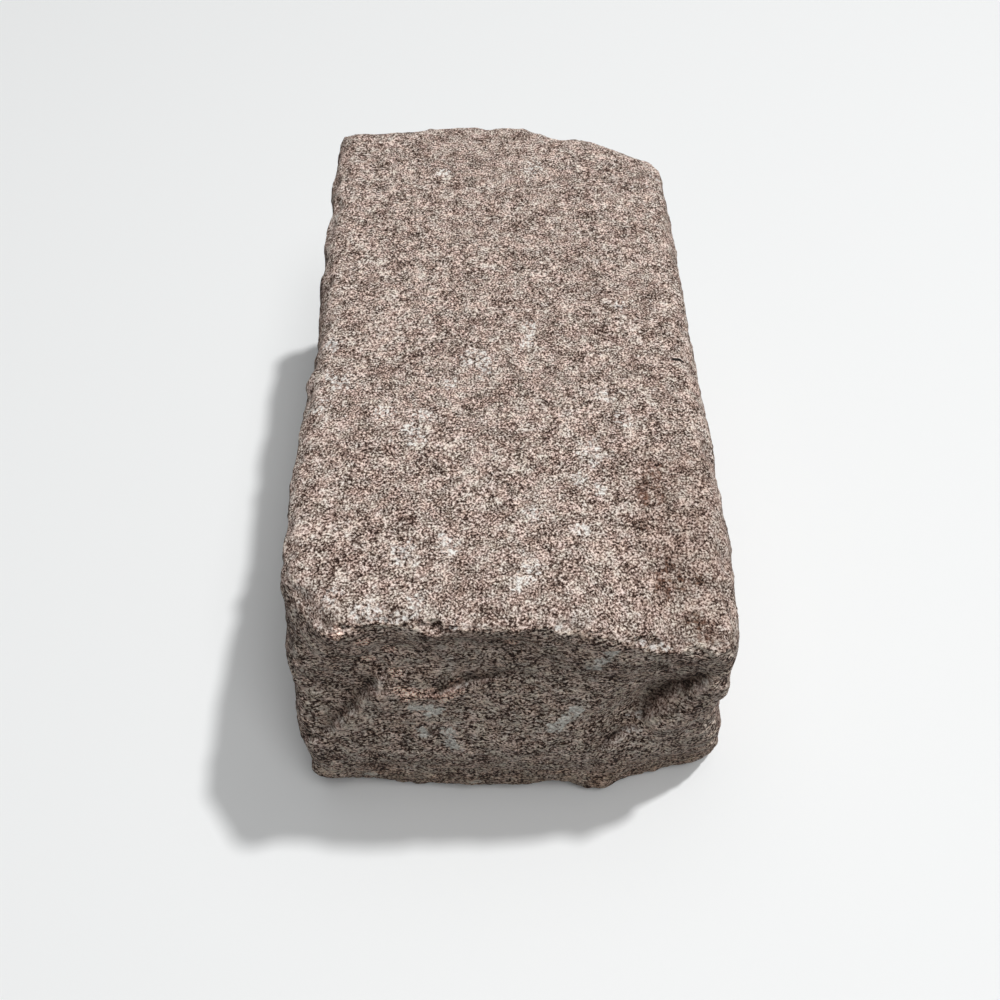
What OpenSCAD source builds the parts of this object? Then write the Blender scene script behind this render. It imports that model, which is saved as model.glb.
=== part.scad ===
// Hand-split granite belgian block, lying on its bed as it would be laid.
// X runs across its width, Y along its length and Z up. The origin is the middle of the bed.
// Each side is the flat side of the overall box, set back by the distance that its function gives.

/* [Overall size] */
// Length over everything
block_length = 254; // [180:1:320]
// Width over everything
block_width = 159; // [120:1:220]
// Height from the bed to the highest point of the top
block_height = 120; // [90:1:180]

/* [Batter and taper] */
// How far the left side leans in from bed to top
left_batter = 4; // [0:1:14]
// How far the right side leans in from bed to top
right_batter = 7; // [0:1:14]
// How far the near end leans in from bed to top
near_batter = 8; // [0:1:14]
// How far the far end is undercut from top to bed
far_undercut = 4; // [0:1:12]
// How much further in the left side stands at the near end than at the far end
left_taper = 2; // [0:1:8]
// How much further in the right side stands at the far end than at the near end
right_taper = 2; // [0:1:10]

/* [Arrises] */
// How far an arris is worn back from the sharp corner
arris_wear = 1.8; // [0.5:0.1:4]
// Width of the worn band on each side of an arris
arris_reach = 8; // [6:1:14]
// How much further the arrises are worn where flakes came off
arris_nibble = 2; // [0:0.1:3]
// Length of one flake along an arris
nibble_span = 13; // [8:1:30]

/* [Split surfaces] */
// Height of the broad waves that splitting left on the sides and ends
side_wave = 2; // [0:0.1:4]
// Distance from one broad wave to the next
side_wave_span = 46; // [25:1:80]
// Height of the smaller lumps on the sides and ends
side_lump = 1; // [0:0.1:2]
// Distance from one lump to the next
side_lump_span = 18; // [12:1:30]
// Height of the slight waves of the dressed top
top_wave = 0.7; // [0:0.1:2]
// Distance from one wave of the top to the next
top_wave_span = 52; // [25:1:80]

/* [Near end] */
// Depth of the facet at the top of the left corner
corner_facet_depth = 26; // [12:1:36]
// Width of the facet along the top arris, to where it runs out
corner_facet_width = 40; // [24:1:48]
// Height of the facet down the left corner, to where it runs out
corner_facet_height = 60; // [40:1:110]
// How much deeper the end lies above the ridge that runs down to the left corner
facet_ledge = 2.5; // [0:0.5:5]
// Depth of the hollow under the left half of the top arris
hollow_depth = 4; // [0:0.5:8]
// Depth of the shallower hollow in the middle
middle_hollow_depth = 2; // [0:0.5:6]
// Depth of the scar on the right
scar_depth = 8; // [0:0.5:10]
// Length of the scar along its slope
scar_length = 54; // [40:1:80]
// Height of the middle of the scar above the bed
scar_height = 67; // [50:1:80]
// Distance of the middle of the scar from the right side
scar_from_side = 27; // [18:1:40]
// Width of the scar above its lower lip
scar_width = 21; // [14:1:34]
// How far the top arris stands forward at the right shoulder
shoulder_out = 2; // [0:0.5:8]
// How far the top drops at the near right corner
shoulder_drop = 12; // [0:0.5:16]
// Width of the right shoulder, from the right side
shoulder_width = 54; // [35:1:60]
// How far the left corner is cut back at the bed
toe_cut = 3; // [0:0.5:6]
// How far the right corner is cut back at the bed
foot_cut = 13; // [0:1:20]

/* [Far end] */
// Width of the corner broken off at the right
broken_corner_width = 66; // [40:1:80]
// Depth of the corner broken off at the right
broken_corner_depth = 24; // [10:1:36]
// Depth of the rounding at the left corner
left_corner_depth = 3; // [0:1:12]

/* [Facets] */
// Spacing of the surface grid across the width and height
cross_step = 6.5; // [6:0.5:12]
// Spacing of the surface grid along the length
length_step = 8; // [6.5:0.5:12]

/* [Hidden] */
stone_colour = [0.52, 0.44, 0.42];
bed_allowance = 2;
half_length = block_length / 2;
half_width = block_width / 2;
lattice_size = 48;
lattice_seed = 11;
scar_slope = 62;
lip_steepness = 3;
ridge_slope = 58;
ridge_softness = 8;
lattice = rands(-1, 1, lattice_size * lattice_size, lattice_seed);

// A smooth step from 0 to 1, and a hollow with a sharp rim where a * a + b * b is 1.
function rise(t) = let(c = min(max(t, 0), 1)) c * c * (3 - 2 * c);
function bowl(a, b) = max(0, 1 - a * a - b * b);

// A random height between -1 and 1 that varies smoothly from one lattice point to the next.
function wrapped(i) = (i % lattice_size + lattice_size) % lattice_size;
function lattice_point(i, j) = lattice[wrapped(i) * lattice_size + wrapped(j)];
function blend(a, b, t) = a + (b - a) * t;
function rough(a, b) =
    let(i = floor(a), j = floor(b), s = rise(a - i), t = rise(b - j))
    blend(
        blend(lattice_point(i, j), lattice_point(i + 1, j), s),
        blend(lattice_point(i, j + 1), lattice_point(i + 1, j + 1), s),
        t
    );

// Waves and lumps of a split surface. Each face reads another part of the lattice.
function split_relief(a, b, face) =
    side_wave * rough(a / side_wave_span + 7 * face, b / side_wave_span + 5)
    + side_lump * rough(a / side_lump_span + 3 * face, b / side_lump_span + 19);

// Left side: it leans in above a third of its height, with a waist and three flake hollows.
function left_inset(y, z) =
    left_batter * rise((z / block_height - 0.3) / 0.7)
    + left_taper * (0.5 - y / block_length)
    + 3 * bowl((y + 4) / 30, (z - block_height) / 60)
    + 5 * bowl((y - 62) / 44, (z - 48) / 30)
    + 3 * bowl((y + 58) / 34, (z - 20) / 26)
    + split_relief(y, z, 1);

// Right side: nearly upright, rolled in under the top arris, with a ledge low down and a
// slight bulge at the near top corner.
function right_inset(y, z) =
    right_batter * z / block_height
    + right_taper * (0.5 + y / block_length)
    + 3 * rise((z - block_height + 22) / 22)
    + 3 * rise((z - 34) / 12)
    + 5 * bowl((y - 18) / 52, (z - 78) / 34)
    + 4 * bowl((y - half_length + 34) / 30, (z - 30) / 34)
    + 2 * bowl((y + half_length - 8) / 30, (z - 66) / 14)
    - 1 * bowl((y + half_length - 12) / 26, (z - block_height + 6) / 24)
    + split_relief(y, z, 2);

// Near end: a slanting scar on the right with a steep lower lip. It rises to the right.
function scar(x, z) =
    let(a = x - half_width + scar_from_side, b = z - scar_height)
    let(along = a * cos(scar_slope) + b * sin(scar_slope))
    let(above = b * cos(scar_slope) - a * sin(scar_slope))
    max(0, 1 - max(above, -lip_steepness * above) / scar_width) * bowl(2 * along / scar_length, 0);
// The right shoulder of the top arris.
function shoulder(x) = rise((x - half_width + shoulder_width) / 14);
// How far a point is up and to the left of the ridge that runs down to the left corner.
function ridge_side(x, z) =
    rise(0.5 + ((z - 89) * cos(ridge_slope) - (x + 45) * sin(ridge_slope)) / ridge_softness);
// The whole near end: a belly below, hollows and the scar above, and the flat corner facet.
function near_inset(x, z) =
    let(below_top = block_height - z)
    let(face = near_batter * rise((z - 36) / 54)
        + hollow_depth * bowl((x + 24) / 36, (z - 100 - 0.25 * (x + 24)) / 16)
        + middle_hollow_depth * bowl((x + 2 - 0.25 * (z - 84)) / 24, (z - 84) / 34)
        + scar_depth * scar(x, z)
        - shoulder_out * shoulder(x) * rise(1 - below_top / 30)
        + 2 * rise(1 - z / 16)
        + toe_cut * rise((-x - 44) / 10) * rise(1 - z / 20)
        + facet_ledge * ridge_side(x, z) * rise((z - 50) / 20)
        + foot_cut * max(0, x - half_width + 44) / 44 * rise(1 - z / 90)
        + 0.5 * split_relief(x, z, 3))
    let(across = (x + half_width) / corner_facet_width)
    let(facet = corner_facet_depth * (1 - across - below_top / corner_facet_height))
    max(face, facet);

// Far end: undercut, rounded on the left, and broken off aslant on the right.
function far_inset(x, z) =
    let(low = 1 - z / block_height)
    let(broken = max(0, x - half_width + broken_corner_width) / broken_corner_width)
    far_undercut * low
    + broken_corner_depth * broken * (1 - 0.5 * low)
    + left_corner_depth * rise((-x - 12) / (half_width - 12))
    + 4 * bowl((x + 20) / 40, (z - 62) / 40)
    + 0.8 * split_relief(x, z, 4);

// Top: nearly flat, with a drop at the near right shoulder.
function top_inset(x, y) =
    shoulder_drop * (0.6 * shoulder(x) + 0.4 * rise((x - 42) / 24)) * rise(1 - (y + half_length - 6) / 50)
    + top_wave * rough(x / top_wave_span + 31, y / top_wave_span + 37);

// Grid lines along one axis: a close one inside each end, then even ones.
edge_band = 3;
function grid_lines(size, step) =
    let(first = edge_band + step * 0.7)
    let(cells = max(2, round((size - 2 * first) / step)))
    [0, edge_band, for (i = [0 : cells]) first + (size - 2 * first) * i / cells, size - edge_band, size];
x_lines = [for (s = grid_lines(block_width, cross_step)) s - half_width];
y_lines = [for (s = grid_lines(block_length, length_step)) s - half_length];
z_lines = grid_lines(block_height, cross_step);
last_x = len(x_lines) - 1;
last_y = len(y_lines) - 1;
last_z = len(z_lines) - 1;

// 1 on the nearer of two opposite faces, falling to 0 at the reach of the wear.
function nearness(from_low, size) = max(0, 1 - min(from_low, size - from_low) / arris_reach);
function worn_back(a, b, along) =
    (arris_wear + arris_nibble * max(0, rough(along / nibble_span, 41))) * a * b * b;

// Moves a point of the plain box to its place on the stone.
function placed(x, y, z) =
    let(rightward = (x + half_width) / block_width)
    let(farward = (y + half_length) / block_length)
    let(upward = z / block_height)
    let(by_x = nearness(x + half_width, block_width))
    let(by_y = nearness(y + half_length, block_length))
    let(by_z = nearness(z, block_height))
    let(x_wear = worn_back(by_x, max(by_y, by_z), y + 2 * z))
    let(y_wear = worn_back(by_y, max(by_x, by_z), x + 2 * z + 90))
    let(z_wear = worn_back(by_z, max(by_x, by_y), x + y))
    [
        x + (left_inset(y, z) + x_wear) * (1 - rightward) - (right_inset(y, z) + x_wear) * rightward,
        y + (near_inset(x, z) + y_wear) * (1 - farward) - (far_inset(x, z) + y_wear) * farward,
        z - (top_inset(x, y) + z_wear) * upward + (z_wear - bed_allowance) * (1 - upward)
    ];

// The six faces of the grid, each with its points row by row.
function face_points(a_last, b_last, at) = [for (j = [0 : b_last], i = [0 : a_last]) at(i, j)];
function at_lines(i, j, k) = placed(x_lines[i], y_lines[j], z_lines[k]);
raw_points = concat(
    face_points(last_x, last_y, function(i, j) at_lines(i, j, 0)),
    face_points(last_x, last_y, function(i, j) at_lines(i, j, last_z)),
    face_points(last_x, last_z, function(i, j) at_lines(i, 0, j)),
    face_points(last_x, last_z, function(i, j) at_lines(i, last_y, j)),
    face_points(last_y, last_z, function(i, j) at_lines(0, i, j)),
    face_points(last_y, last_z, function(i, j) at_lines(last_x, i, j))
);

// Two triangles in each cell, with the diagonals turned in alternate cells.
function face_triangles(a_last, b_last, first, turned) = [
    for (j = [0 : b_last - 1], i = [0 : a_last - 1])
        let(p = first + j * (a_last + 1) + i, q = p + a_last + 1)
        for (t = (i + j) % 2 == 0
            ? [[p, q, q + 1], [p, q + 1, p + 1]]
            : [[p, q, p + 1], [p + 1, q, q + 1]])
            turned ? [t[2], t[1], t[0]] : t
];
xy_count = (last_x + 1) * (last_y + 1);
xz_count = (last_x + 1) * (last_z + 1);
yz_count = (last_y + 1) * (last_z + 1);
triangles = concat(
    face_triangles(last_x, last_y, 0, true),
    face_triangles(last_x, last_y, xy_count, false),
    face_triangles(last_x, last_z, 2 * xy_count, false),
    face_triangles(last_x, last_z, 2 * xy_count + xz_count, true),
    face_triangles(last_y, last_z, 2 * xy_count + 2 * xz_count, true),
    face_triangles(last_y, last_z, 2 * xy_count + 2 * xz_count + yz_count, false)
);

// The points are spread a little so that the stone fills its overall size exactly.
function lowest(axis) = min([for (p = raw_points) p[axis]]);
function highest(axis) = max([for (p = raw_points) p[axis]]);
function centred(value, low, high, size) = ((value - low) / (high - low) - 0.5) * size;
x_low = lowest(0);
x_high = highest(0);
y_low = lowest(1);
y_high = highest(1);
z_high = highest(2);
points = [for (p = raw_points) [
    centred(p[0], x_low, x_high, block_width),
    centred(p[1], y_low, y_high, block_length),
    p[2] > 0 ? p[2] * block_height / z_high : p[2]
]];

// The stone, cut flat at the bed so that it lies firmly.
module granite_block() {
    color(stone_colour)
        intersection() {
            polyhedron(points, triangles);
            translate([-block_width, -block_length, 0])
                cube([2 * block_width, 2 * block_length, 2 * block_height]);
        }
}

granite_block();
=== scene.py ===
import math

import bmesh
import bpy
import numpy as np
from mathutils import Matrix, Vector


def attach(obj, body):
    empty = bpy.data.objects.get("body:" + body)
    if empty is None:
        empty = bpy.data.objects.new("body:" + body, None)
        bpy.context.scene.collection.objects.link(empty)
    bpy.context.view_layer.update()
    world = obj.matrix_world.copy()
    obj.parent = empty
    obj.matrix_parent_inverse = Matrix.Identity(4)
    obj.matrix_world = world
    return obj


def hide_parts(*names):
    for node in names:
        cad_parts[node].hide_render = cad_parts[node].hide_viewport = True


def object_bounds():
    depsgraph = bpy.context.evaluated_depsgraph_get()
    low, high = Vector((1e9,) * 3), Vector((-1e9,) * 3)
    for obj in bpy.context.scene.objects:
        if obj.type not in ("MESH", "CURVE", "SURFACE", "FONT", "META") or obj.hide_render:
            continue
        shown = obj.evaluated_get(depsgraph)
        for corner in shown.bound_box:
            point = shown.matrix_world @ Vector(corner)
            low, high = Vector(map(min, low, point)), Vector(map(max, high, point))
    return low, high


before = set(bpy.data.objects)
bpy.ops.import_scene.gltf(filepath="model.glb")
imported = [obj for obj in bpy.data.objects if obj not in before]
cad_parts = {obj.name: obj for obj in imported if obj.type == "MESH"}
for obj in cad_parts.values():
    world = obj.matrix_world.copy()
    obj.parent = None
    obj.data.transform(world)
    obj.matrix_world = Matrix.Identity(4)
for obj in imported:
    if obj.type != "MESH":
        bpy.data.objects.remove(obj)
cad_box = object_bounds()


# ---------------------------------------------------------------------------------------------
# The stone. One piece of pinkish fine-grained granite, split by hand with hammer and wedges, so
# its top is nearly flat and its sides are broken surfaces with flake scars. It lies on its bed.
# ---------------------------------------------------------------------------------------------

MM = 0.001
X, Y, Z = 0, 1, 2
south = cad_box[0][Y]
floor_level = cad_box[0][Z]
roof = cad_box[1][Z]
hair = 0.01 * MM
skin_cell = 1.5 * MM
finer_reach = 14 * MM
sharp_angle = math.radians(34)

stone_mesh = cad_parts["granite_block"].data.copy()
stone = bpy.data.objects.new("split_granite_block", stone_mesh)
bpy.context.scene.collection.objects.link(stone)


def apply_modifier(piece, kind, **settings):
    """Adds one modifier to the piece, applies it and leaves the plain mesh."""
    step = piece.modifiers.new(kind, kind)
    for name, value in settings.items():
        setattr(step, name, value)
    depsgraph = bpy.context.evaluated_depsgraph_get()
    made = bpy.data.meshes.new_from_object(piece.evaluated_get(depsgraph))
    piece.modifiers.clear()
    piece.data = made


def crease_arrises(piece, angle):
    """Welds the mesh and creases its sharp edges, so that subdivision rounds only the faces."""
    tightness = 0.8
    welded = bmesh.new()
    welded.from_mesh(piece.data)
    bmesh.ops.remove_doubles(welded, verts=welded.verts, dist=hair)
    crease = welded.edges.layers.float.new("crease_edge")
    for edge in welded.edges:
        if len(edge.link_faces) == 2 and edge.calc_face_angle() > angle:
            edge[crease] = tightness
    welded.to_mesh(piece.data)
    welded.free()


def halve_near_cells(piece, reach):
    """Splits the skin's cells within reach of the near end into four, so it holds finer detail."""
    skin = bmesh.new()
    skin.from_mesh(piece.data)
    for face in skin.faces:
        face.tag = face.calc_center_median().y < south + reach and face.normal.z > -0.9
    edges = [edge for edge in skin.edges if any(face.tag for face in edge.link_faces)]
    bmesh.ops.subdivide_edges(skin, edges=edges, cuts=1, use_grid_fill=True)
    skin.to_mesh(piece.data)
    skin.free()


def merge_bed(piece):
    """Makes one face of the flat bed inside its rim, where the skin needs no cells."""
    skin = bmesh.new()
    skin.from_mesh(piece.data)
    for vertex in skin.verts:
        vertex.tag = vertex.co.z < floor_level + hair
    for face in skin.faces:
        face.tag = all(vertex.tag for vertex in face.verts)
    inner = [face for face in skin.faces if all(f.tag for v in face.verts for f in v.link_faces)]
    bmesh.ops.dissolve_faces(skin, faces=inner)
    skin.to_mesh(piece.data)
    skin.free()


crease_arrises(stone, sharp_angle)
apply_modifier(stone, "SUBSURF", levels=2, render_levels=2)
apply_modifier(stone, "REMESH", mode="VOXEL", voxel_size=skin_cell)
halve_near_cells(stone, finer_reach)
merge_bed(stone)


def read_points(mesh):
    """The mesh's points and normals as rows of numbers."""
    points = np.empty(len(mesh.vertices) * 3)
    normals = np.empty(len(mesh.vertices) * 3)
    mesh.vertices.foreach_get("co", points)
    mesh.vertices.foreach_get("normal", normals)
    return points.reshape(-1, 3), normals.reshape(-1, 3)


def write_points(mesh, points):
    mesh.vertices.foreach_set("co", points.ravel())
    mesh.update()


def rise(t):
    """A smooth step from 0 to 1."""
    t = np.clip(t, 0, 1)
    return t * t * (3 - 2 * t)


def lumps(points, span, seed):
    """Smooth random heights from -1 to 1, about one lump to each span."""
    cells = 32
    lattice = np.random.default_rng(seed).uniform(-1, 1, (cells, cells, cells))
    place = points / span + 100
    low = np.floor(place).astype(int)
    part = rise(place - low)
    total = np.zeros(len(points))
    for corner in np.ndindex(2, 2, 2):
        share = np.ones(len(points))
        for axis in range(3):
            share *= part[:, axis] if corner[axis] else 1 - part[:, axis]
        index = (low + corner) % cells
        total += share * lattice[index[:, 0], index[:, 1], index[:, 2]]
    return total


def flake_off(points, centre, radius, inward):
    """Presses the points that a rough ball at centre covers inward, to its far side."""
    close = np.nonzero(((points - centre) ** 2).sum(axis=1) < (radius + MM) ** 2)[0]
    away = points[close] - centre
    rough = 0.6 * lumps(points[close], 8 * MM, 31) + 0.3 * lumps(points[close], 3 * MM, 32)
    ahead = away @ inward
    room = ahead**2 + (radius + rough * MM) ** 2 - (away**2).sum(axis=1)
    push = np.where(room > 0, np.maximum(np.sqrt(np.maximum(room, 0)) - ahead, 0), 0)
    points[close] += push[:, None] * inward


def swell(points, centre, reach, shift):
    """Shifts the points round a centre, fading with distance. Both are (x, y, z) in mm."""
    away = points / MM - centre
    fade = np.exp(-(away**2).sum(axis=1) / reach**2)
    points += fade[:, None] * np.array(shift) * MM


def split_step(points, normals, start, end, width, back, proud):
    """Steps the near end along a line: back on its left, proud on its right, fading both ways.
    It returns how much each point lies in the corner of the step, which is painted as shade, and
    how much on its lip, which is painted as highlight."""
    run = (end[0] - start[0], end[1] - start[1])
    length = math.hypot(*run)
    a = points[:, X] / MM - start[0]
    b = points[:, Z] / MM - start[1]
    along = (a * run[0] + b * run[1]) / length
    aside = (b * run[0] - a * run[1]) / length
    aside += 0.9 * lumps(points, 11 * MM, 33) + 0.5 * lumps(points, 4 * MM, 34)
    lip = 1.5
    fade_length = 9
    depth = np.interp(aside, [-lip - width, -lip, 0, width], [0, -proud, back, 0])
    fade = rise(0.2 + along / fade_length) * rise(0.2 + (length - along) / fade_length)
    fade *= rise(-1.6 * normals[:, Y] - 0.3)
    points[:, Y] += depth * MM * fade
    corner = np.where(aside > 0, np.exp(-aside / 3.2), np.exp(-((aside / 0.6) ** 2)))
    edge = np.exp(-(((aside + 1.7) / 1.1) ** 2))
    return back * fade * corner, proud * fade * edge


# Where the outline bulges or is hollow, mostly at the corners of the near end. Each row is a
# centre, how far the swell reaches from it and how it shifts the skin, in mm.
points, normals = read_points(stone.data)
for centre, reach, shift in (
    ((76, -114, 79), 9, (-2.2, 0, 0)),
    ((78, -108, 42), 14, (2.2, 0, 0)),
    ((74, -114, 12), 8, (1.8, 0, 0)),
    ((-73, -108, 86), 18, (-1.4, 0, 0)),
    ((-72, -92, 114), 12, (-1.0, 0, 0)),
    ((-56, -111, 114), 9, (0, -3.5, 1.0)),
    ((-72, -66, 114), 13, (-1.9, 0, 0)),
    ((-76, 52, 112), 20, (1.5, 0, 0)),
    ((66, -20, 111), 26, (1.7, 0, 0)),
    ((67, 72, 108), 26, (-1.5, 0, 0)),
    ((36, 111, 118), 20, (0, 2.5, 0)),
    ((55, -118, 91), 12, (0, 2.4, 0)),
    ((-17, -124, 118), 8, (0, 1.6, 0)),
    ((11, -124, 118), 10, (0, 1.9, 0)),
    ((31, -123, 116), 9, (0, 2.4, 0)),
    ((44, -123, 114), 9, (0, 2.4, 0)),
    ((59, -121, 112), 10, (0, 3.0, 0)),
    ((16, -125, 3), 6, (0, 2.4, 0)),
    ((32, -125, 5), 6, (0, -1.8, 0)),
):
    swell(points, centre, reach, shift)

# Steps in the break of the near end, from (x, z) to (x, z): two along the foot of the scar at its
# right, one under the hollow below the top arris, and two along the ridge at its left.
# Each step's corner gets painted shade and its lip gets painted highlight.
corner_shade = np.zeros(len(points))
lip_highlight = np.zeros(len(points))
for start, end, width, back, proud in (
    ((43, 51), (64, 87), 15, 1.7, 2.6),
    ((27, 41), (43, 49), 11, 1.2, 0.8),
    ((-30, 76), (-2, 85), 9, 1.3, 0.5),
    ((-78, 46), (-65, 52), 11, 0.9, 1.3),
    ((-67, 51), (-43, 85), 12, 1.1, 2.2),
):
    corner, lip = split_step(points, normals, start, end, width, back, proud)
    corner_shade += corner
    lip_highlight += lip
write_points(stone.data, points)

# Broad flakes on the sides and the far end. Each one starts at the nearest skin to a chosen place.
far_from_end = 38 * MM
deep_below = 78 * MM
flake_draw = np.random.default_rng(7)
middle = (np.array(cad_box[0]) + np.array(cad_box[1])) / 2
half = (np.array(cad_box[1]) - np.array(cad_box[0])) / 2


def broad_flakes(outward, count, radius, bite):
    """Splits flakes off the side that faces outward, but none close to the near end, with radius
    and bite drawn from those ranges in mm. Flakes low on the side go twice as deep."""
    facing = np.array(outward, float)
    for _ in range(count):
        spread = flake_draw.uniform(-0.85, 0.85, 3) * half * (1 - np.abs(facing))
        aim = middle + facing * half + spread
        aim[Y] = max(aim[Y], south + far_from_end)
        start = points[np.argmin(np.linalg.norm(points - aim, axis=1))]
        lean = facing + flake_draw.uniform(-0.3, 0.3, 3)
        lean /= np.linalg.norm(lean)
        ball = flake_draw.uniform(*radius) * MM
        depth = flake_draw.uniform(*bite) * MM
        if start[Z] < deep_below:
            depth *= 2
        flake_off(points, start + lean * (ball - depth), ball, -facing)


for outward, count in (((-1, 0, 0), 9), ((1, 0, 0), 9), ((0, 1, 0), 6)):
    broad_flakes(outward, count, (22, 60), (0.8, 2.4))
write_points(stone.data, points)

# Split relief: broken waves on the sides and ends, much finer on the top, none on the bed.
points, normals = read_points(stone.data)
upward = rise((normals[:, Z] - 0.75) / 0.2)
on_bed = normals[:, Z] < -0.9
split = (1 - upward) * ~on_bed
broken = (
    0.90 * np.abs(lumps(points, 19 * MM, 21))
    + 0.60 * lumps(points, 9.5 * MM, 22)
    + 0.44 * lumps(points, 5 * MM, 23)
    + 0.36 * lumps(points, 2.6 * MM, 24)
    + 0.24 * lumps(points, 1.4 * MM, 28)
)
dressed = (
    0.30 * lumps(points, 14 * MM, 27)
    + 0.20 * lumps(points, 7 * MM, 25)
    + 0.20 * lumps(points, 2.8 * MM, 26)
)
height = (split * (broken - 0.35) + upward * (dressed - 0.2)) * MM
points = points + normals * height[:, None]


def chip_arris(along, outward, count, radius, bite):
    """Chips one arris. along is the axis that it follows, outward points away from the stone,
    and a chip's radius and bite are drawn from those ranges in mm."""
    across = np.array(outward, float)
    across /= np.linalg.norm(across)
    reach = points @ across
    for place in flake_draw.uniform(-0.9, 0.9, count) * half[along] + middle[along]:
        near = np.abs(points[:, along] - place) < 2.5 * MM
        corner = points[near][np.argmax(reach[near])]
        ball = flake_draw.uniform(*radius) * MM
        depth = flake_draw.uniform(*bite) * MM
        lean = across + flake_draw.uniform(-0.35, 0.35, 3)
        lean /= np.linalg.norm(lean)
        flake_off(points, corner + lean * (ball - depth), ball, -across)


# Chips along the arrises, where the hammer or wear took the corner off. The near end has few.
for side in (-1, 1):
    chip_arris(Z, (side, 1, 0), 9, (10, 26), (0.3, 1.2))
    chip_arris(Y, (side, 0, 1), 34, (5, 14), (0.15, 0.6))
    chip_arris(Y, (side, 0, -1), 20, (8, 24), (0.3, 1.3))
chip_arris(X, (0, 1, 1), 22, (5, 14), (0.15, 0.6))
chip_arris(X, (0, 1, -1), 12, (8, 24), (0.3, 1.3))
chip_arris(X, (0, -1, 1), 30, (2.5, 5.5), (0.2, 0.5))
chip_arris(X, (0, -1, -1), 8, (6, 14), (0.2, 0.7))

points = np.clip(points, cad_box[0], cad_box[1])
write_points(stone.data, points)
stone.data.polygons.foreach_set("use_smooth", [True] * len(stone.data.polygons))


def paint_marks(name, values):
    """Keeps a value for each point of the stone, which the material reads."""
    marks = stone.data.attributes.new(name, "FLOAT", "POINT")
    marks.data.foreach_set("value", np.clip(values, 0, 1))


# Worn ridges: how far each point stands above the skin round it, found by smoothing that skin.
points, normals = read_points(stone.data)
ends = np.empty(len(stone.data.edges) * 2, int)
stone.data.edges.foreach_get("vertices", ends)
ends = ends.reshape(-1, 2)
joined = np.bincount(ends.ravel(), minlength=len(points))
smoothings = 7
smooth = points.copy()
for _ in range(smoothings):
    gathered = np.empty_like(smooth)
    for axis in range(3):
        side = smooth[:, axis]
        gathered[:, axis] = np.bincount(ends[:, 0], side[ends[:, 1]], len(points))
        gathered[:, axis] += np.bincount(ends[:, 1], side[ends[:, 0]], len(points))
    smooth = gathered / joined[:, None]
standing = ((points - smooth) * normals).sum(axis=1)
facing_up = rise((normals[:, Z] - 0.4) / 0.3)
rim = rise((normals[:, Z] - 0.45) / 0.15) * rise((0.9 - normals[:, Z]) / 0.1)
top_band = roof - 35 * MM
rim *= rise(-5 * normals[:, Y] - 0.5) * (points[:, Z] > top_band)
rim *= rise(0.7 + 1.2 * lumps(points, 16 * MM, 35))
# Worn ridges and the worn rim of the near arris are paler; the lips of the near end's steps are
# paler too, as painted highlight.
paint_marks("worn", rise((standing / MM - 0.15) / 0.4) * facing_up * 0.8 + rim * 0.9 + lip_highlight * 0.7)
# The corners of the near end's steps are kept for painted shade.
paint_marks("grimed", corner_shade * 0.85)

# Bruises: pale patches of crushed grains. Each is a cluster of small blows round one place, and
# its row gives that place and its spread in mm, and its strength.
bruise_draw = np.random.default_rng(3)
TOP_BRUISES = [
    (-66, -33, 4, 1.0), (-61, -21, 4, 1.0), (-65, -3, 3, 0.7), (-45, -35, 4, 0.6),
    (-30, -36, 4, 0.7), (-35, -46, 5, 0.9), (-14, -9, 6, 0.9), (-11, -17, 4, 0.6),
    (-22, -22, 4, 0.6), (5, -2, 3, 0.8), (6, 5, 3, 0.8), (30, -28, 5, 0.6),
    (37, -39, 4, 0.6), (26, -53, 5, 1.0), (21, -63, 3, 0.8), (28, -68, 3, 0.5),
    (5, -77, 3, 1.0), (21, -82, 2, 0.9), (-21, -89, 4, 1.0), (-35, -92, 4, 1.0),
    (5, -96, 3, 0.9), (1, -102, 3, 0.9), (-31, -110, 5, 0.6), (-45, -112, 5, 0.6),
    (-56, -108, 4, 0.4), (-37, -116, 4, 0.5), (-19, -117, 4, 0.5), (12, -117, 3, 0.5),
    (40, 16, 4, 0.5), (8, 98, 7, 0.6), (-29, 92, 4, 0.5), (58, 86, 7, 0.5),
    (37, -118, 1, 0.9), (40, -118, 1, 0.9), (43, -118, 1, 0.9), (46, -118, 1, 0.7),
]
END_BRUISES = [
    (-27, 67, 3, 0.9), (-33, 69, 2, 0.5), (-23, 55, 3, 0.3), (-21, 47, 3, 0.5),
    (-31, 54, 3, 0.3), (21, 67, 2, 0.6), (17, 63, 2, 0.5), (13, 58, 3, 1.0),
    (29, 104, 2, 0.5), (27, 99, 2, 0.3), (25, 94, 2, 0.6), (-14, 12, 1, 0.7),
    (-53, 18, 1, 0.7),
]


def blots(across, along, places):
    """Clusters of small blots. across and along are the points' places on that face."""
    total = np.zeros(len(across))
    for a, b, size, strength in places:
        for _ in range(5 + 3 * size):
            shift_a, shift_b = bruise_draw.normal(0, 0.5 * size, 2)
            reach = bruise_draw.uniform(0.8, 1.9)
            away = np.hypot(across / MM - a - shift_a, along / MM - b - shift_b)
            total += strength * np.exp(-((away / reach) ** 2))
    return total


facing_near = rise((-normals[:, Y] - 0.4) / 0.3)
on_top = np.minimum(blots(points[:, X], points[:, Y], TOP_BRUISES), 1) * facing_up * 0.58
on_end = np.minimum(blots(points[:, X], points[:, Z], END_BRUISES), 1) * facing_near * 0.9
paint_marks("bruised", on_top + on_end)

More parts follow.
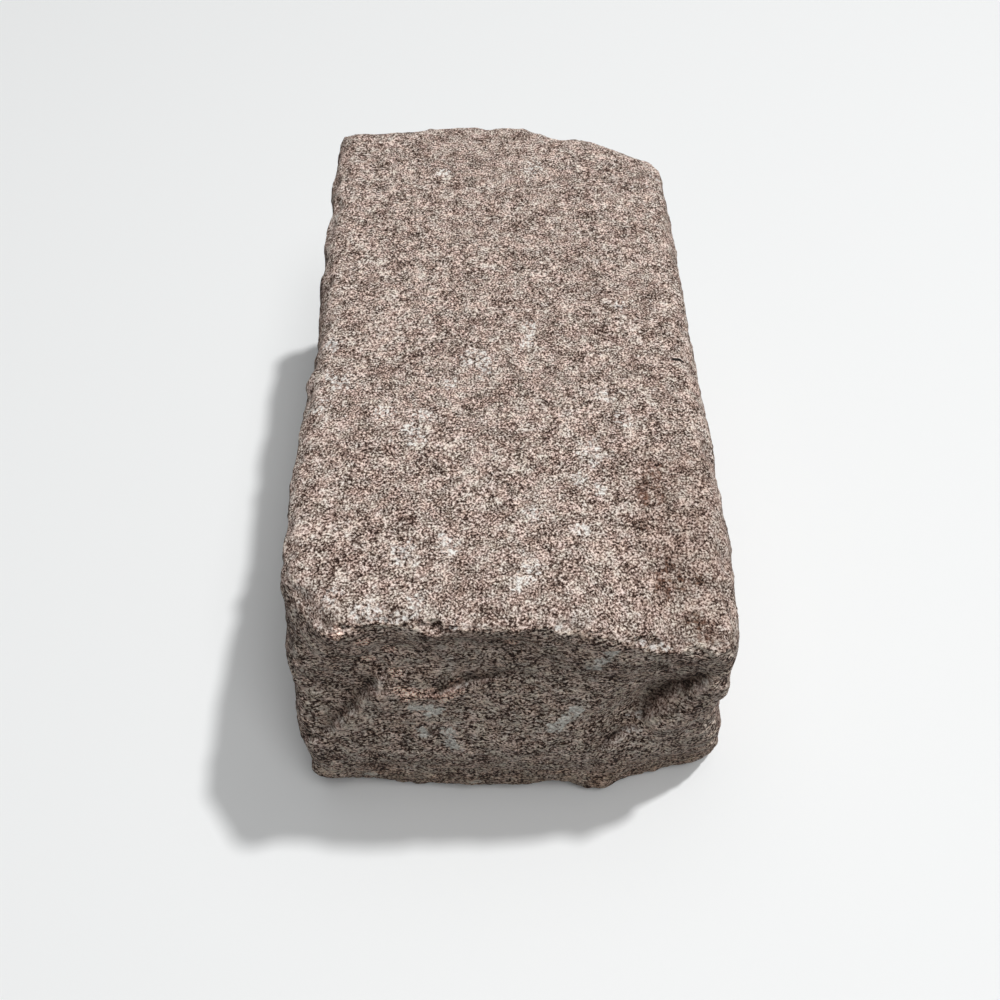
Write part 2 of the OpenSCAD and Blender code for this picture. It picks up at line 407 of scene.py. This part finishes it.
# Rust in blots along the right of the top, over a wider stain, and soil low on the sides.
RUST_BLOTS = [
    (46, -60, 3, 1.0), (44, -65, 4, 1.0), (46, -70, 4, 0.8), (41, -71, 3, 0.6),
    (40, -80, 3, 0.5), (46, -88, 3, 0.5), (47, -94, 4, 0.5), (45, -100, 4, 0.7),
    (52, -97, 4, 0.4), (56, -108, 4, 0.6), (58, -113, 3, 0.7), (61, -96, 4, 0.4),
]
across = points[:, X] / MM
along = points[:, Y] / MM
stain = np.exp(-(((across - 53) / 15) ** 2)) * rise((along + 122) / 12) * rise((-38 - along) / 22)
rusted = np.minimum(blots(points[:, X], points[:, Y], RUST_BLOTS), 1)
paint_marks("rusted", rusted * facing_up)
paint_marks("stained", stain * facing_up)
soil_height = 55 * MM
paint_marks("soiled", rise(1 - points[:, Z] / soil_height) * (1 - facing_up))
paint_marks("broken", (1 - facing_up) * (0.35 + 0.65 * facing_near))

# The middle of the near end is a little paler.
fresh = np.exp(-(((across + 15) / 42) ** 2) - ((points[:, Z] / MM - 62) / 15) ** 2)
paint_marks("fresh", fresh * facing_near)

# A vein of redder feldspar shows in the break of the near end, with a few specks above it.
RED_PATCHES = [
    (-36, 77, 3, 0.8), (-30, 77, 3, 1.0), (-23, 76, 3, 0.9), (-18, 78, 2, 0.7),
    (-38, 87, 1, 1.0), (-39, 99, 1, 0.8), (-46, 94, 1, 0.8), (-47, 108, 1, 0.9),
    (-53, 115, 2, 0.5), (-1, 106, 1, 0.8),
]
reddened = np.minimum(blots(points[:, X], points[:, Z], RED_PATCHES), 1)
paint_marks("reddened", reddened * facing_near)


class Link:
    """One output of a material's nodes. Arithmetic on it adds Math or Vector Math nodes."""

    tree = None

    def __init__(self, socket):
        self.socket = socket

    @classmethod
    def node(cls, kind, settings, sockets, output=0):
        """Adds a node, makes its settings, sets or links its sockets, and returns one output."""
        made = cls.tree.nodes.new(kind)
        for name, value in settings.items():
            if name == "stops":
                ramp = made.color_ramp.elements
                while len(ramp) < len(value):
                    ramp.new(1.0)
                for element, (position, colour) in zip(ramp, value):
                    element.position = position
                    element.color = (*colour, 1.0)
            else:
                setattr(made, name, value)
        for name, value in sockets.items():
            if isinstance(value, Link):
                cls.tree.links.new(value.socket, made.inputs[name])
            else:
                made.inputs[name].default_value = value
        return cls(made.outputs[output])

    @classmethod
    def maths(cls, operation, *terms):
        """A Math node for values alone, or a Vector Math node where a term is a vector."""
        plain = all(not isinstance(t, Link) or t.socket.type == "VALUE" for t in terms)
        if plain:
            return cls.node("ShaderNodeMath", {"operation": operation}, dict(enumerate(terms)))
        spread = [(t, t, t) if isinstance(t, (int, float)) else t for t in terms]
        return cls.node("ShaderNodeVectorMath", {"operation": operation}, dict(enumerate(spread)))

    def __add__(self, other):
        return Link.maths("ADD", self, other)

    def __sub__(self, other):
        return Link.maths("SUBTRACT", self, other)

    def __rsub__(self, other):
        return Link.maths("SUBTRACT", other, self)

    def __mul__(self, other):
        return Link.maths("MULTIPLY", self, other)

    def __truediv__(self, other):
        return Link.maths("DIVIDE", self, other)

    __radd__ = __add__
    __rmul__ = __mul__

    def most(self, other):
        return Link.maths("MAXIMUM", self, other)

    def length(self):
        return Link.node("ShaderNodeVectorMath", {"operation": "LENGTH"}, {0: self}, "Value")

    def step(self, low, high):
        """Goes smoothly from 0 at low to 1 at high."""
        return Link.node(
            "ShaderNodeMapRange",
            {"interpolation_type": "SMOOTHSTEP"},
            {"Value": self, "From Min": low, "From Max": high},
        )

    def mixed(self, other, factor):
        """This colour, going over to the other one by the factor."""
        made = Link.tree.nodes.new("ShaderNodeMix")
        made.data_type = "RGBA"
        for end, value in zip([made.inputs[i] for i in (0, 6, 7)], (factor, self, other)):
            if isinstance(value, Link):
                Link.tree.links.new(value.socket, end)
            else:
                end.default_value = value if isinstance(value, float) else (*value, 1.0)
        return Link(made.outputs[2])


# The granite itself: grains about a millimetre across, mostly pink feldspar with grey quartz and
# black mica, with white bruises where the hammer crushed it and a rust stain on the top.
granite = bpy.data.materials.new("pink_granite")
granite.use_nodes = True
Link.tree = granite.node_tree
surface = granite.node_tree.nodes["Principled BSDF"]

# Mica, then feldspar from dark to pale, then quartz.
MINERALS = [
    (0.00, (0.021, 0.009, 0.006)),
    (0.16, (0.065, 0.038, 0.029)),
    (0.33, (0.158, 0.107, 0.086)),
    (0.50, (0.306, 0.226, 0.192)),
    (0.67, (0.484, 0.380, 0.332)),
    (0.84, (0.700, 0.580, 0.518)),
    (1.00, (0.900, 0.790, 0.722)),
]

CRUSHED = (0.94, 0.95, 0.92)
STAIN = (0.82, 0.79, 0.77)
RUST = (0.30, 0.20, 0.155)
BROKEN_TINT = (1.03, 0.993, 0.94)
RED_VEIN = (1.62, 1.46, 1.42)
SOIL = (0.93, 0.85, 0.77)
# The next colour darkens the corners of the near end's steps as painted shade.
SHADE_DARKENING = (0.30, 0.27, 0.25)

place = Link.node("ShaderNodeTexCoord", {}, {}, "Object")


def noise(scale, detail=2.0, coarse=0.5, coords=place, output=0):
    return Link.node(
        "ShaderNodeTexNoise",
        {},
        {"Vector": coords, "Scale": scale, "Detail": detail, "Roughness": coarse},
        output,
    )


def grains(size, coords):
    """A random value for each grain of about that size."""
    colour = Link.node(
        "ShaderNodeTexVoronoi", {"feature": "F1"}, {"Vector": coords, "Scale": 1 / size}, "Color"
    )
    return Link.node("ShaderNodeSeparateColor", {}, {"Color": colour}, 0)


def mark(name):
    """A value that was kept for each point."""
    return Link.node("ShaderNodeAttribute", {"attribute_name": name}, {}, "Fac")


def hazed(scale, detail, amount):
    """Soft noise about 0, with that much swing."""
    return (noise(scale, detail, 0.6) - 0.5) * amount


# Speckle finer than a millimetre over grains of a millimetre or two, in loose clusters. On the
# broken faces, most of all on the near end, the speckle, grains and clusters are stronger, partly
# as painted shade and light of their rough relief.
ragged = place + (noise(1500.0, output=1) - 0.5) * (0.5 * MM)
torn = (noise(1250.0, 2.0, 0.6, place * (0.8, 0.8, 1.15)) - 0.5) * 5.9
dressed_grain = hazed(1500.0, 2.0, 3.4)
speckle = dressed_grain + (torn - dressed_grain) * mark("broken")
coarse_grain = grains(1.5 * MM, ragged) - 0.5
facets = coarse_grain * (mark("broken") * 0.12 + 0.24)
facets = facets + coarse_grain.step(0.32, 0.44) * mark("broken") * 0.36
clustering_and_shade = hazed(170.0, 4.0, 1.0) * (1 + mark("broken") * 0.9)

# Crushed grains are paler and greyer, and so are the ridges where the arrises are worn and the
# lips of the near end's steps, whose paleness is painted highlight.
patchy = hazed(620.0, 3.0, 3.0)
crushing = (mark("bruised") * 1.1 + patchy).step(0.45, 1.0)
wearing_and_highlight = (mark("worn") * 0.9 + patchy).step(0.40, 1.0)
paleness = crushing.most(wearing_and_highlight * 0.7)
mineral = speckle * (1 - paleness * 0.3) + facets + clustering_and_shade + 0.52
mineral = mineral + paleness * 0.28 + mark("fresh") * 0.10 + mark("broken") * 0.012
grain_colour = Link.node("ShaderNodeValToRGB", {"stops": MINERALS}, {"Fac": mineral})
pinkness = noise(210.0, 3.0, 0.6).step(0.34, 0.66)
tint = Link.mixed((0.955, 1.01, 1.0), (1.045, 0.985, 0.965), pinkness)
tint = tint.mixed((0.96, 1.03, 1.06), crushing * 0.8)
yellowness = (hazed(320.0, 3.0, 2.0) * (1 + mark("broken") * 0.8)).step(-1.0, 1.0)
tint = tint * Link.mixed((0.99, 1.0, 1.05), (1.01, 1.0, 0.95), yellowness)
whitening = crushing * (mark("broken") * 0.48 + 0.40) * (speckle * 0.7 + 1)
colour = (grain_colour * tint).mixed(CRUSHED, whitening)

# Rust has soaked into the top, a redder vein shows in the near end, soil clings low on the
# sides, and the steps' corners are darkened with painted shade.
staining = (mark("stained") + hazed(120.0, 3.0, 0.9)).step(0.0, 1.2)
colour = colour.mixed(colour * STAIN, staining)
rusting = (mark("rusted") * 0.62 + hazed(560.0, 3.0, 2.6)).step(0.3, 1.0)
colour = colour.mixed(colour * RUST, rusting)
colour = colour.mixed(colour * BROKEN_TINT, mark("broken"))
reddening = (mark("reddened") + patchy * 0.5).step(0.3, 1.0)
colour = colour.mixed(colour * RED_VEIN, reddening)
soiling = (mark("soiled") * 0.9 + hazed(90.0, 3.0, 1.2)).step(0.2, 1.1)
colour = colour.mixed(colour * SOIL, soiling)
# Painted shade in the corners of the near end's steps.
colour = colour.mixed(colour * SHADE_DARKENING, mark("grimed"))

# One short crack in the top, near its right arris.
crack_middle = (58.2 * MM, -11.2 * MM, 119.0 * MM)
crack_half_size = (3.3 * MM, 0.8 * MM, 4.0 * MM)
from_crack = ((place - crack_middle) / crack_half_size).length()
colour = colour.mixed(colour * 0.03, 1 - from_crack.step(0.7, 1.0))

# A dry, dull finish, with the grains standing out further where the stone is broken.
roughness = noise(700.0) * 0.15 + 0.75
Link.tree.links.new(colour.socket, surface.inputs["Base Color"])
Link.tree.links.new(roughness.socket, surface.inputs["Roughness"])
surface.inputs["Specular IOR Level"].default_value = 0.2
grain_relief = noise(700.0, 3.0) * (mark("broken") * 3.2 + 0.8) + speckle * 0.15
bumped = Link.node(
    "ShaderNodeBump", {}, {"Height": grain_relief, "Distance": 0.5 * MM, "Strength": 1.0}
)
Link.tree.links.new(bumped.socket, surface.inputs["Normal"])

stone.data.materials.clear()
stone.data.materials.append(granite)
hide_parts("granite_block")
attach(stone, "root")


# ---------------------------------------------------------------------------------------------
# The studio: a plain pale floor, a small key lamp high on the right, a wide soft lamp overhead,
# a softer lamp over the near end and a dim pale world. Together they light a level surface at
# the plain level.
# ---------------------------------------------------------------------------------------------

bpy.ops.mesh.primitive_plane_add(size=8.0, location=(0, 0, floor_level))
floor = bpy.context.object
floor.name = "pale_floor"
paint = bpy.data.materials.new("pale_floor_paint")
paint.use_nodes = True
Link.tree = paint.node_tree
PALE = (0.88, 0.89, 0.89)
DIM = (0.22, 0.22, 0.225)
kinds = ("Is Camera Ray", "Is Glossy Ray", "Is Transmission Ray")
rays = [Link.node("ShaderNodeLightPath", {}, {}, kind) for kind in kinds]
seen = rays[0].most(rays[1]).most(rays[2])
painted = Link.tree.nodes["Principled BSDF"]
Link.tree.links.new(Link.mixed(DIM, PALE, seen).socket, painted.inputs["Base Color"])
painted.inputs["Roughness"].default_value = 0.7
floor.data.materials.append(paint)


def hang_lamp(name, toward, distance, size, level):
    """An area lamp that gives the given level of light, 1 being plain, on a surface facing it."""
    lamp = bpy.data.lights.new(name, "AREA")
    lamp.shape = "DISK"
    lamp.size = size
    lamp.energy = level * math.pi * math.pi * distance**2
    holder = bpy.data.objects.new(name, lamp)
    bpy.context.scene.collection.objects.link(holder)
    direction = Vector(toward).normalized()
    holder.location = direction * distance
    holder.rotation_euler = direction.to_track_quat("Z", "Y").to_euler()


hang_lamp("key_lamp", toward=(0.372, 0.222, 1.0), distance=4.0, size=0.25, level=0.56)
hang_lamp("top_lamp", toward=(0.0, 0.1, 1.0), distance=3.0, size=3.0, level=0.19)
hang_lamp("near_lamp", toward=(0.22, -0.36, 1.0), distance=3.0, size=1.4, level=0.32)
world = bpy.data.worlds.new("pale_room")
bpy.context.scene.world = world
world.use_nodes = True
air = world.node_tree.nodes["Background"]
air.inputs["Color"].default_value = (0.95, 0.98, 1.0, 1)
air.inputs["Strength"].default_value = 0.06

# The camera stands over the near end and looks down along the stone.
look_down = math.radians(55.28)
camera_data = bpy.data.cameras.new("camera")
camera_data.lens = 36.0
camera_data.sensor_width = 36.0
camera = bpy.data.objects.new("camera", camera_data)
bpy.context.scene.collection.objects.link(camera)
camera.location = (-4.8 * MM, south - 126.6 * MM, roof + 262 * MM)
camera.rotation_euler = (math.pi / 2 - look_down, 0, 0)
bpy.context.scene.camera = camera
bpy.context.scene.view_settings.view_transform = "Standard"
